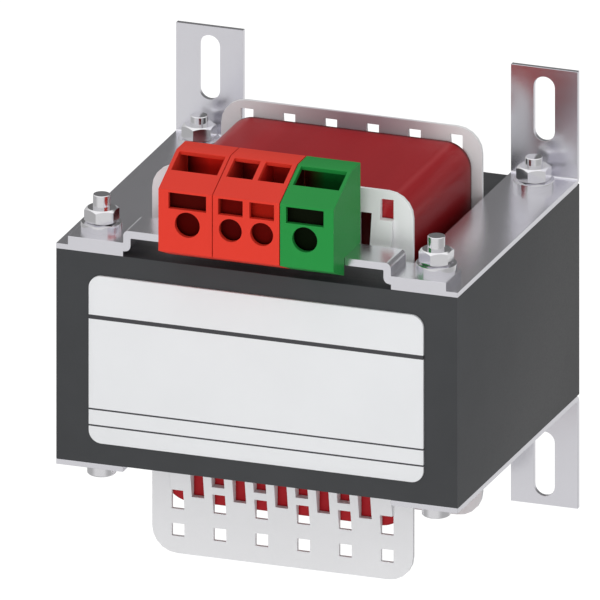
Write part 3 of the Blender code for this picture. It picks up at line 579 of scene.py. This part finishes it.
def prism(outline, plane, start, end, rim=0.0):
    """Solid between two copies of a flat outline, its end rims rounded if rim is given."""
    shape = bmesh.new()
    rings = [add_ring(shape, outline, plane, level) for level in (start, end)]
    caps = [shape.faces.new(ring) for ring in rings]
    join_rings(shape, rings)
    bmesh.ops.recalc_face_normals(shape, faces=shape.faces)
    if rim:
        round_edges(shape, [edge for cap in caps for edge in cap.edges], rim)
    return shape


def box_shape(low, high):
    shape = bmesh.new()
    size = [top - bottom for bottom, top in zip(low, high)]
    middle = [(top + bottom) / 2 for bottom, top in zip(low, high)]
    bmesh.ops.create_cube(shape, size=1.0,
                          matrix=Matrix.Translation(middle) @ Matrix.Diagonal((*size, 1)))
    return shape


def rod_shape(across, depth, diameter):
    """Upright round rod that reaches beyond the core and the nuts."""
    shape = bmesh.new()
    bmesh.ops.create_cone(shape, cap_ends=True, segments=40, radius1=diameter / 2,
                          radius2=diameter / 2, depth=2 * CUT_REACH,
                          matrix=Matrix.Translation((across, depth, 0)))
    return shape


def clean(shape, distance, angle):
    """Join points that coincide, and faces that are flat to each other."""
    bmesh.ops.remove_doubles(shape, verts=shape.verts, dist=distance)
    bmesh.ops.dissolve_limit(shape, angle_limit=math.radians(angle), verts=shape.verts,
                             edges=shape.edges)


def scratch(shape):
    """Object that lives only while carve works."""
    mesh = bpy.data.meshes.new("scratch")
    bmesh.ops.recalc_face_normals(shape, faces=shape.faces)
    shape.to_mesh(mesh)
    shape.free()
    item = bpy.data.objects.new("scratch", mesh)
    bpy.context.scene.collection.objects.link(item)
    return item


def carve(body, cutters, operation="DIFFERENCE"):
    """Body's shape less the cutters', or what they share, as a new bmesh."""
    item = scratch(body)
    tools = [scratch(cutter) for cutter in cutters]
    for tool in tools:
        step = item.modifiers.new("cut", "BOOLEAN")
        step.operation = operation
        step.solver = "EXACT"
        step.object = tool
    graph = bpy.context.evaluated_depsgraph_get()
    mesh = bpy.data.meshes.new_from_object(item.evaluated_get(graph))
    shape = bmesh.new()
    shape.from_mesh(mesh)
    for spent in [item] + tools:
        data = spent.data
        bpy.data.objects.remove(spent)
        bpy.data.meshes.remove(data)
    bpy.data.meshes.remove(mesh)
    clean(shape, distance=0.0005, angle=0.5)
    return shape


def ease(shape, offset, angle=40, keep=None):
    """Round the sharp edges of a shape a little, but not those whose points keep picks."""
    bmesh.ops.recalc_face_normals(shape, faces=shape.faces)
    edges = [edge for edge in shape.edges
             if len(edge.link_faces) == 2 and edge.calc_face_angle(0) > math.radians(angle)
             and not (keep and all(keep(*vertex.co) for vertex in edge.verts))]
    round_edges(shape, edges, offset)


def finish_node(name, material, ease_by=0.0):
    """Carry a CAD node over with a finish, its edges eased if a width in millimetres is given."""
    item = NODES[name]
    item.data.materials.clear()
    item.data.materials.append(material)
    weld = item.modifiers.new("weld", "WELD")
    weld.merge_threshold = 0.000001
    flat = item.modifiers.new("flat", "DECIMATE")
    flat.decimate_type = "DISSOLVE"
    flat.angle_limit = math.radians(0.5)
    if ease_by:
        bevel = item.modifiers.new("ease", "BEVEL")
        bevel.width = ease_by * MM
        bevel.segments = 2
        bevel.limit_method = "ANGLE"
        bevel.angle_limit = math.radians(35)
        bevel.use_clamp_overlap = True
    item.data.shade_smooth()
    even_normals(item)


def remake(name, material, move, ease_by=0.10, angle=35, keep=None):
    """Piece with a CAD node's form, its joints closed by move and its edges rounded."""
    shape = bmesh.new()
    shape.from_mesh(NODES[name].data)
    for vertex in shape.verts:
        vertex.co /= MM
    clean(shape, distance=0.001, angle=0.6)
    for vertex in shape.verts:
        vertex.co = Vector(move(*vertex.co))
    ease(shape, ease_by, angle, keep)
    piece = place_mesh(name + "_piece", shape, material)
    even_normals(piece)
    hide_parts(name)


def lowered(level, by, reach=0.3):
    """Move for remake: what lies within reach of a height goes down by that much."""
    def move(across, depth, height):
        if abs(height - level) < reach:
            return across, depth, height - by
        return across, depth, height
    return move


# Camera: a parallel view that fits the photo, whose side is 600 pixels at 4452 to the metre

PICTURE_SIDE = 600
PIXELS_PER_METRE = 4452
AZIMUTH = math.radians(20)
ELEVATION = math.radians(20)
RIGHT = Vector((math.cos(AZIMUTH), math.sin(AZIMUTH), 0))
BACK = Vector((math.sin(AZIMUTH) * math.cos(ELEVATION),
               -math.cos(AZIMUTH) * math.cos(ELEVATION), math.sin(ELEVATION)))
UP = BACK.cross(RIGHT)
CAMERA_DISTANCE = 0.5

# The picture's middle, in millimetres from the core's
LEFT_OF_MIDDLE = 4.0
ABOVE_MIDDLE = 4.74


def add_camera():
    """Parallel camera in front of the object, turned right and up by its two angles."""
    middle = Vector((0, -CORE_DEPTH / 2, 0)) - LEFT_OF_MIDDLE * RIGHT + ABOVE_MIDDLE * UP
    data = bpy.data.cameras.new("camera")
    data.type = "ORTHO"
    data.ortho_scale = PICTURE_SIDE / PIXELS_PER_METRE
    data.clip_end = 10
    camera = bpy.data.objects.new("camera", data)
    turn = Matrix((RIGHT, UP, BACK)).transposed().to_4x4()
    camera.matrix_world = Matrix.Translation(middle * MM + BACK * CAMERA_DISTANCE) @ turn
    bpy.context.scene.collection.objects.link(camera)
    bpy.context.scene.camera = camera


add_camera()


# Core

CORE_SWELL = 0.15


def make_core():
    """Painted stack of E and I laminations, closed up against the brackets."""
    top = STACK_TOP + CORE_SWELL
    body = box_shape((-CORE_HALF, -CORE_DEPTH, -top), (CORE_HALF, 0, top))
    cutters = []
    for side in (-1, 1):
        left, right = sorted((side * CENTRE_LEG / 2, side * (CENTRE_LEG / 2 + WINDOW_WIDTH)))
        cutters.append(box_shape((left, -CORE_DEPTH + YOKE, -CUT_REACH),
                                 (right, -YOKE, CUT_REACH)))
        for depth in (-CORE_DEPTH + SCREW_INSET, -SCREW_INSET):
            cutters.append(rod_shape(side * (CORE_HALF - SCREW_INSET), depth, SCREW_BORE))
    shape = carve(body, cutters)
    ease(shape, offset=0.12, angle=60)
    piece = place_mesh("core_stack", shape, CORE_PAINT)
    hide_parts("core_e_laminations", "core_i_laminations")


make_core()


# Coil

COIL_ARC_STEPS = 14
COIL_LENGTH_STEPS = 12
COIL_ROUNDING = 0.7
COIL_ROUNDING_STEPS = 4
COIL_BORE_CORNER = 2.4
TUBE_TO_COIL = 0.15


def make_coil():
    """Taped coil with rounded corners, its ends drawn in over the edges of the windings."""
    turns = [math.pi / 2 * step / COIL_ROUNDING_STEPS for step in range(COIL_ROUNDING_STEPS + 1)]
    rim = [(COIL_ROUNDING * (1 - math.cos(turn)), COIL_ROUNDING * (1 - math.sin(turn)))
           for turn in turns]
    start, end = COIL_FRONT + COIL_ROUNDING, COIL_BACK - COIL_ROUNDING
    sections = [(COIL_FRONT + inward, inset) for inward, inset in rim]
    for step in range(1, COIL_LENGTH_STEPS):
        sections.append((start + (end - start) * step / COIL_LENGTH_STEPS, 0.0))
    sections += [(COIL_BACK - inward, inset) for inward, inset in reversed(rim)]

    shape = bmesh.new()
    corners = rectangle(TUBE_HALF_WIDTH + TUBE_TO_COIL, TUBE_HALF_HEIGHT + TUBE_TO_COIL,
                        COIL_BORE_CORNER)
    bore = arc_outline(corners, COIL_ARC_STEPS)
    rings = [add_ring(shape, bore, "XZ", COIL_FRONT)]
    for level, inset in sections:
        corners = rectangle(COIL_HALF_WIDTH - inset, COIL_HALF_HEIGHT - inset,
                            COIL_CORNER - inset)
        rings.append(add_ring(shape, arc_outline(corners, COIL_ARC_STEPS), "XZ", level))
    rings.append(add_ring(shape, bore, "XZ", COIL_BACK))
    join_rings(shape, rings + rings[:1])
    piece = place_mesh("taped_coil", shape, RED_TAPE, sharp=60)
    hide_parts("outer_wrap", "coil_end_tape_front", "coil_end_tape_rear")


make_coil()


# Bobbin

finish_node("bobbin", BOBBIN_PLASTIC, ease_by=0.10)


# Sheet metal

# The carrier's ears begin this far from its middle, and stretch over this height
EAR_START = 30.0
EAR_SOFT_HEIGHT = 1.3

# A point this near to a face counts as on it
NEAR = 0.1


def make_sheet_metal():
    """Brackets pressed onto the core, and the carrier's ears pressed onto the brackets."""
    def at_front_edge(across, depth, height):
        return depth < -CORE_DEPTH + NEAR and height > BRACKET_TOP - NEAR

    def on_bracket(across, depth, height):
        return height < BRACKET_TOP + NEAR / 2

    def seat_ears(across, depth, height):
        """Stretch the ears' lower side down onto the bracket."""
        share = (BRACKET_TOP + SEAT_GAP + EAR_SOFT_HEIGHT - height) / EAR_SOFT_HEIGHT
        if abs(across) > EAR_START and share > 0:
            return across, depth, height - SEAT_GAP * share
        return across, depth, height

    underside = STACK_TOP + SEAT_GAP
    drop = SEAT_GAP - CORE_SWELL
    for side in ("left", "right"):
        remake(f"upper_bracket_{side}", ZINC, lowered(underside, drop),
               keep=at_front_edge)
        remake(f"lower_bracket_{side}", ZINC, lowered(-underside, -drop))
    remake("terminal_carrier", ZINC, seat_ears, keep=on_bracket)


make_sheet_metal()


# Fasteners

WASHER_THICKNESS = 1.4
WASHER_BORE_RADIUS = 2.15
WASHER_RIM = 0.07
WASHER_STEPS = 72
NUT_ACROSS_FLATS = 7.0
NUT_SEAT_RADIUS = 3.25
NUT_FACE_RADIUS = 3.2
NUT_CONE_SLOPE = math.tan(math.radians(30))
NUT_CONE_STEPS = 96
NUT_CONE_REACH = 4.4
STUD_DIAMETER = 4.0


def upright_place(name):
    """Middle of a node seen from above, half its width, and its top."""
    low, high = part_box(name)
    centre = [(a + b) / 2 / MM for a, b in zip(low, high)]
    return centre[:2], (high[0] - low[0]) / 2 / MM, high[2] / MM


def make_washer(name, sheet):
    """Turned washer with softened rims, flat on the sheet and tight under the nut."""
    centre, radius, top = upright_place(name)
    profile = [(WASHER_BORE_RADIUS, sheet), (radius, sheet), (radius, top - 2 * WASHER_RIM),
               (radius - 0.6 * WASHER_RIM, top - 0.6 * WASHER_RIM),
               (radius - 2 * WASHER_RIM, top), (WASHER_BORE_RADIUS, top)]
    shape = bmesh.new()
    rings = turned_rings(shape, centre, profile, WASHER_STEPS)
    join_rings(shape, rings + rings[:1])
    piece = place_mesh(name + "_piece", shape, BRIGHT_STEEL)
    even_normals(piece)
    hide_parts(name)


def make_nut(name, seat):
    """Hexagon nut, its corners turned down to a cone at both ends, tight on its washer."""
    centre, _, top = upright_place(name)
    points = [(point.co.x / MM - centre[0], point.co.y / MM - centre[1])
              for point in NODES[name].data.vertices]
    across, back = max(points, key=lambda point: math.hypot(*point))
    turn = math.atan2(back, across)
    corner = NUT_ACROSS_FLATS / math.sqrt(3)
    hexagon = [(centre[0] + corner * math.cos(turn + math.tau * step / 6),
                centre[1] + corner * math.sin(turn + math.tau * step / 6)) for step in range(6)]
    cones = bmesh.new()
    profile = [(NUT_SEAT_RADIUS, seat),
               (NUT_CONE_REACH, seat + (NUT_CONE_REACH - NUT_SEAT_RADIUS) * NUT_CONE_SLOPE),
               (NUT_CONE_REACH, top - (NUT_CONE_REACH - NUT_FACE_RADIUS) * NUT_CONE_SLOPE),
               (NUT_FACE_RADIUS, top)]
    rings = turned_rings(cones, centre, profile, NUT_CONE_STEPS)
    join_rings(cones, rings)
    for end in (rings[0], rings[-1]):
        cones.faces.new(end)
    shape = carve(prism(hexagon, "XY", seat, top), [cones], "INTERSECT")
    shape = carve(shape, [rod_shape(*centre, STUD_DIAMETER)])
    piece = place_mesh(name + "_piece", shape, BRIGHT_STEEL, sharp=14)
    even_normals(piece)
    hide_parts(name)


def make_fasteners():
    """Nuts drawn down onto their washers, washers onto the sheet, and heads up against it."""
    head_seat = lowered(-BRACKET_TOP - SEAT_GAP, -SEAT_GAP, reach=0.1)
    for end, sheet in (("front", CARRIER_TOP), ("rear", BRACKET_TOP)):
        for side in ("left", "right"):
            place = f"{end}_{side}"
            make_washer(f"washer_{place}", sheet)
            make_nut(f"nut_{place}", sheet + SEAT_GAP + WASHER_THICKNESS)
            remake(f"clamping_screw_{place}", BRIGHT_STEEL, head_seat,
                   ease_by=0.05, angle=40)


make_fasteners()


# Terminals

# The partition in the red two-pole block stands this far inside its outer faces and floor
TO_WALL = 1.25
TO_FLOOR = 1.65
INNER_FRONT = BLOCK_FRONT + TO_WALL
INNER_BACK = BLOCK_BACK - TO_WALL
INNER_TOP = BLOCK_TOP - TO_WALL
INNER_FLOOR = BLOCK_SEAT + TO_FLOOR
PARTITION = [(INNER_FRONT, INNER_FLOOR), (INNER_FRONT, BLOCK_FRONT_TOP - 0.8),
             (BLOCK_SLOPE_BACK + 0.1, INNER_TOP), (INNER_BACK, INNER_TOP),
             (INNER_BACK, INNER_FLOOR)]
PARTITION_HALF = 0.55

# Outline of a leaf that stands behind the front wall, a dark sheet that carries the cavity's
# painted shade: its foot, its face and its bent top
WIRE_FLAP = [(-84.55, 33.45), (-82.02, 33.45), (-82.02, 33.85), (-84.10, 33.85),
             (-84.35, 34.40), (-84.35, 43.90), (-83.70, 44.85), (-84.05, 45.05),
             (-84.80, 44.00), (-84.80, 34.00)]

# Pole, left and right edge of its leaf, and the leaf's painted shade colours behind the hole and
# the window
POLES = (("line", -19.65, -9.45, (0.070, 0.0015, 0.001), (0.072, 0.003, 0.002)),
         ("tap", -6.65, -0.62, (0.078, 0.002, 0.002), (0.125, 0.003, 0.002)),
         ("common", 0.62, 6.65, (0.110, 0.003, 0.002), (0.360, 0.012, 0.006)),
         ("earth", 8.20, 19.65, (0.003, 0.006, 0.002), (0.005, 0.007, 0.003)))


def make_terminals():
    """Blocks seated on the carrier, with the metal, partition and leaves inside them."""
    for name, material, slot in (("terminal_block_line", RED_LINE, "red_plastic"),
                                 ("terminal_block_load", RED_LOAD, "red_plastic"),
                                 ("terminal_block_earth", GREEN_EARTH, "green_plastic")):
        remake(name, material, lowered(BLOCK_SEAT, SEAT_GAP, reach=0.05))
    for pole in ("line", "tap", "common"):
        finish_node(f"clamp_spring_{pole}", SPRING)
        finish_node(f"contact_bar_{pole}", CONTACT)
    finish_node("clamp_spring_earth", EARTH_SPRING)
    finish_node("contact_bar_earth", EARTH_CONTACT)
    shape = prism(PARTITION, "YZ", -PARTITION_HALF, PARTITION_HALF)
    ease(shape, offset=0.1)
    place_mesh("pole_partition", shape, RED_WALL)
    for pole, left, right, low, high in POLES:
        shape = prism(WIRE_FLAP, "YZ", left, right)
        ease(shape, offset=0.08)
        place_mesh(f"wire_flap_{pole}", shape,
                   shade_leaf_material(f"painted_shade_flap_{pole}", low, high))


make_terminals()


# Plate and inner pieces

PLATE_HALF_WIDTH = 40.0
PLATE_HALF_HEIGHT = 20.0
PLATE_CORNER = 3.0
PLATE_ARC_STEPS = 12
PLATE_FRONT = -CORE_DEPTH - 0.7
PLATE_BACK = -CORE_DEPTH + 0.02
PLATE_RIM = 0.12


def make_plate():
    """Rating plate, set a little into the paint of the core's front."""
    corners = rectangle(PLATE_HALF_WIDTH, PLATE_HALF_HEIGHT, PLATE_CORNER)
    outline = arc_outline(corners, PLATE_ARC_STEPS)
    shape = prism(outline, "XZ", PLATE_FRONT, PLATE_BACK, PLATE_RIM)
    piece = place_mesh("plate", shape, PLATE_FACE)
    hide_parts("rating_plate")


make_plate()
finish_node("common_winding", COPPER)
finish_node("series_winding", COPPER)
finish_node("winding_insulation", FILM)
for lead in ("line", "tap", "common"):
    finish_node(f"lead_{lead}", SLEEVE)


# Studio: places in metres

LIGHT_TARGET = Vector((0, -CORE_DEPTH / 2, 0)) * MM
FLOOR_HEIGHT = -0.20
FLOOR_HALF = 4.0
FLOOR_GLOW = 1.16


def area_light(name, place, size, energy):
    """Softbox that points at the object and doesn't show in its reflections."""
    data = bpy.data.lights.new(name, "AREA")
    data.shape = "RECTANGLE"
    data.size, data.size_y = size
    data.energy = energy
    lamp = bpy.data.objects.new(name, data)
    lamp.location = place
    direction = LIGHT_TARGET - Vector(place)
    lamp.rotation_euler = direction.to_track_quat("-Z", "Y").to_euler()
    lamp.visible_glossy = False
    bpy.context.scene.collection.objects.link(lamp)


def make_world():
    """Soft room, brightest overhead, with a dim patch high up at the back for the gloss."""
    world = bpy.data.worlds.new("studio")
    world.use_nodes = True
    nodes = Nodes(world.node_tree)
    nodes.tree.nodes.clear()
    around = nodes.add("ShaderNodeTexCoord").outputs["Generated"]

    def glow(direction, low, high, to_low, to_high):
        """Brightness that changes as the view turns towards a direction."""
        facing = nodes.along(around, Vector(direction).normalized())
        return nodes.remap(facing, low, high, to_low, to_high, "SMOOTHSTEP")

    soft = glow((0.0, -0.12, 1.0), -0.45, 1.0, 0.08, 1.12)
    dim = glow((0.0, 0.94, 0.34), 0.79, 0.91, 1.0, 0.27)
    overhead = glow((0.0, -0.10, 1.0), 0.25, 0.85, 0.74, 1.28)
    path = nodes.add("ShaderNodeLightPath").outputs
    sharp_ray = nodes.math("MAXIMUM", path["Is Glossy Ray"], path["Is Transmission Ray"])
    level = nodes.choose(sharp_ray, soft, nodes.math("MULTIPLY", dim, overhead))
    level = nodes.choose(path["Is Camera Ray"], level, 1.0)
    room = nodes.add("ShaderNodeBackground")
    nodes.fill(room.inputs["Strength"], level)
    output = nodes.add("ShaderNodeOutputWorld")
    nodes.fill(output.inputs["Surface"], room.outputs[0])
    bpy.context.scene.world = world


def floor_material():
    """Pale floor that looks white, and dimmer in reflections towards the left and right."""
    shader = Shader("floor", Base_Color=(0.70, 0.70, 0.70), Roughness=0.9, Specular_IOR_Level=0.0)
    outward = shader.add("ShaderNodeVectorMath", operation="NORMALIZE")
    shader.fill(outward.inputs[0], shader.place())
    aside = shader.math("ABSOLUTE", shader.along(outward.outputs[0], (1.0, 0.0, 0.0)))
    gloss = shader.remap(aside, 0.45, 0.95, 0.75, 0.44, "SMOOTHSTEP")
    path = shader.add("ShaderNodeLightPath").outputs
    white = shader.add("ShaderNodeEmission")
    strength = shader.choose(path["Is Glossy Ray"], FLOOR_GLOW, gloss)
    shader.fill(white.inputs["Strength"], strength)
    shares = [shader.math("MULTIPLY", path[key], amount)
              for key, amount in (("Is Camera Ray", 0.85), ("Is Glossy Ray", 0.90),
                                  ("Is Transmission Ray", 0.85))]
    mix = shader.add("ShaderNodeMixShader")
    for index, value in enumerate((shader.fold("MAXIMUM", *shares), shader.bsdf.outputs[0],
                                   white.outputs[0])):
        shader.fill(mix.inputs[index], value)
    shader.fill(shader.tree.nodes["Material Output"].inputs["Surface"], mix.outputs[0])
    return shader.material


def make_floor():
    shape = bmesh.new()
    bmesh.ops.create_grid(shape, x_segments=1, y_segments=1, size=FLOOR_HALF)
    mesh = bpy.data.meshes.new("floor")
    shape.to_mesh(mesh)
    shape.free()
    floor = bpy.data.objects.new("floor", mesh)
    floor.location = (0, 0, FLOOR_HEIGHT)
    bpy.context.scene.collection.objects.link(floor)
    mesh.materials.append(floor_material())


make_world()
make_floor()
area_light("front_softbox", (0.10, -1.3, 0.02), size=(1.2, 0.6), energy=7.7)
area_light("back_softbox", (0, 1.2, 0.06), size=(0.5, 0.3), energy=2.6)
bpy.context.scene.view_settings.view_transform = "Standard"
